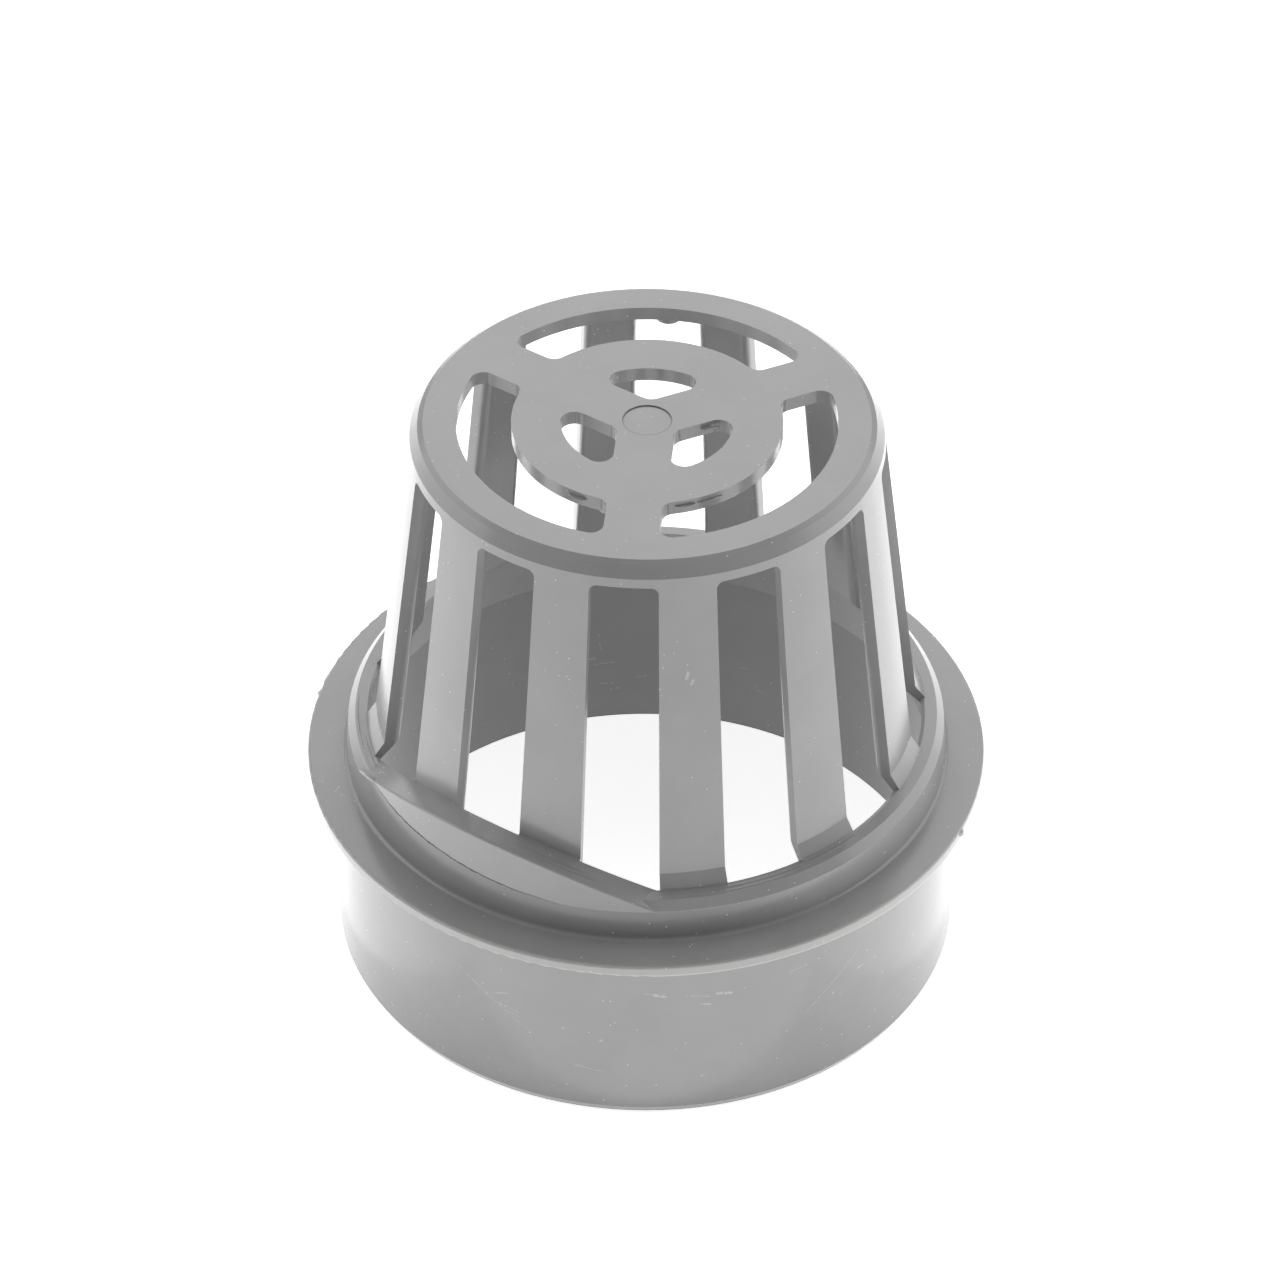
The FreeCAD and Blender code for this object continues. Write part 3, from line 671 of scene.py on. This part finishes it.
def add_parting_line(material):
    """Thin irregular line where the mould's halves met, along the bank's face."""
    shape = Shape(seed=21)
    left, right = math.degrees(PARTING_LEFT), math.degrees(PARTING_RIGHT)
    path = []
    for share in shares(PARTING_POINTS):
        stray = shape.chance.uniform(-PARTING_STRAY, PARTING_STRAY)
        height = PARTING_LOW + PARTING_FALL * (1 - share) + stray
        path.append(from_outside(left + (right - left) * share, height))
    for stretch in stretches_of(path, PARTING_JUMP):
        shape.ridge(stretch, PARTING_RIDGE_WIDTH, PARTING_RIDGE_RISE)
    shape.make("parting_line", material)


def plate_edge(start, heading):
    """Where the top plate ends, going from start along heading, or None if the steps run out."""
    for i in range(EDGE_STEPS):
        spot = start + heading * EDGE_STEP * i
        met = on_moulding(Vector((spot.x, spot.y, PLATE_TOP + EDGE_CAST_RISE)), -UP)
        if met is None or PLATE_TOP - met[0].z > EDGE_DROP:
            return spot - heading * EDGE_STEP
    return None


def add_flash(material):
    """Ragged flash along the edges of the top plate's openings."""
    shape = Shape(seed=5)
    for x, y, direction, width, reach in FLASH:
        heading = round_the_axis(direction, 1.0, 0.0)
        root = plate_edge(Vector((x * MM, y * MM, 0.0)), heading)
        if root is not None:
            root.z = PLATE_TOP - FLASH_DEPTH
            shape.flap(root, heading, width * MM, reach * MM, FLASH_THICKNESS)
    shape.make("flash", material)


def add_nicks(material):
    """Burrs that stand out from the flange's edge."""
    shape = Shape(seed=13)
    for bearing, width, reach in NICKS:
        root = round_the_axis(bearing, FLANGE_RADIUS - NICK_INSET, FLANGE_TOP - NICK_DEPTH)
        heading = round_the_axis(bearing, 1.0, 0.0)
        shape.flap(root, heading, width * MM, reach * MM, NICK_THICKNESS)
    shape.make("edge_nicks", material)


# Floor, backdrop and lights

def backdrop_material():
    """White to the camera and in reflections, and still a floor that takes the object's shadow."""
    material = bpy.data.materials.new("white_paper")
    nodes = fresh_nodes(material)
    path = nodes.add("ShaderNodeLightPath")
    seen = nodes.math("MAXIMUM", path.outputs["Is Camera Ray"], path.outputs["Is Glossy Ray"])
    paper = nodes.add("ShaderNodeBsdfDiffuse")
    paper.inputs["Color"].default_value = FLOOR_COLOUR
    glow = nodes.add("ShaderNodeEmission")
    glow.inputs["Color"].default_value = WHITE
    nodes.link(nodes.times(seen, FLOOR_GLOW), glow.inputs["Strength"])
    both = nodes.add("ShaderNodeAddShader")
    nodes.link(paper.outputs[0], both.inputs[0])
    nodes.link(glow.outputs[0], both.inputs[1])
    output = nodes.add("ShaderNodeOutputMaterial")
    nodes.link(both.outputs[0], output.inputs["Surface"])
    return material


def lay_floor():
    mesh = bpy.data.meshes.new("floor")
    half = FLOOR_REACH
    corners = [(-half, -half, 0.0), (half, -half, 0.0), (half, half, 0.0), (-half, half, 0.0)]
    mesh.from_pydata(corners, [], [(0, 1, 2, 3)])
    floor = bpy.data.objects.new("floor", mesh)
    floor.location.z = -FLOOR_GAP
    bpy.context.scene.collection.objects.link(floor)
    mesh.materials.append(backdrop_material())


def light_world():
    """Even, dim light from all round. To the camera it is white."""
    world = bpy.data.worlds.new("studio")
    bpy.context.scene.world = world
    nodes = fresh_nodes(world)
    to_camera = nodes.add("ShaderNodeLightPath").outputs["Is Camera Ray"]
    strength = nodes.math("ADD", nodes.times(to_camera, 1 - WORLD_LIGHT), WORLD_LIGHT)
    background = nodes.add("ShaderNodeBackground")
    background.inputs["Color"].default_value = WHITE
    nodes.link(strength, background.inputs["Strength"])
    output = nodes.add("ShaderNodeOutputWorld")
    nodes.link(background.outputs[0], output.inputs["Surface"])


def add_lamp(name, place, width, depth, power):
    """Area lamp at a place, facing down until it is turned."""
    data = bpy.data.lights.new(name, "AREA")
    data.shape = "RECTANGLE"
    data.size, data.size_y = width, depth
    data.energy = power
    lamp = bpy.data.objects.new(name, data)
    bpy.context.scene.collection.objects.link(lamp)
    lamp.location = place
    return lamp


def hang_lamps():
    for name, place, power in LAMPS:
        lamp = add_lamp(name, place, LAMP_SIZE, LAMP_SIZE, power)
        aim = Vector(LAMP_TARGET) - Vector(place)
        lamp.rotation_euler = aim.to_track_quat("-Z", "Y").to_euler()


def light_table():
    """Glowing table under the grate, dimmer inside the pipe: lamps that face up, unseen."""
    wide, narrow = 2 * TABLE_REACH, 2 * TABLE_HOLE
    back = TABLE_REACH - TABLE_HOLE
    front = TABLE_FRONT - TABLE_HOLE
    middle = TABLE_HOLE + back / 2
    for name, x, y, width, depth, share in (
            ("table_front", 0.0, -TABLE_HOLE - front / 2, wide, front, 1.0),
            ("table_back", 0.0, middle, wide, back, 1.0),
            ("table_left", -middle, 0.0, back, narrow, 1.0),
            ("table_right", middle, 0.0, back, narrow, 1.0),
            ("pipe_floor", 0.0, 0.0, narrow, narrow, PIPE_SHARE)):
        power = share * TABLE_GLOW * math.pi * width * depth
        lamp = add_lamp(name, (x, y, FLOOR_GAP), width, depth, power)
        lamp.rotation_euler = (math.pi, 0.0, 0.0)
        lamp.visible_camera = False


aim_camera()
plastic = moulded_plastic()
paint(grate, plastic)
bpy.context.view_layer.update()
add_step_lines(plastic)
add_parting_line(plastic)
add_flash(plastic)
add_nicks(plastic)

lay_floor()
light_world()
hang_lamps()
light_table()

bpy.context.scene.view_settings.view_transform = "Standard"
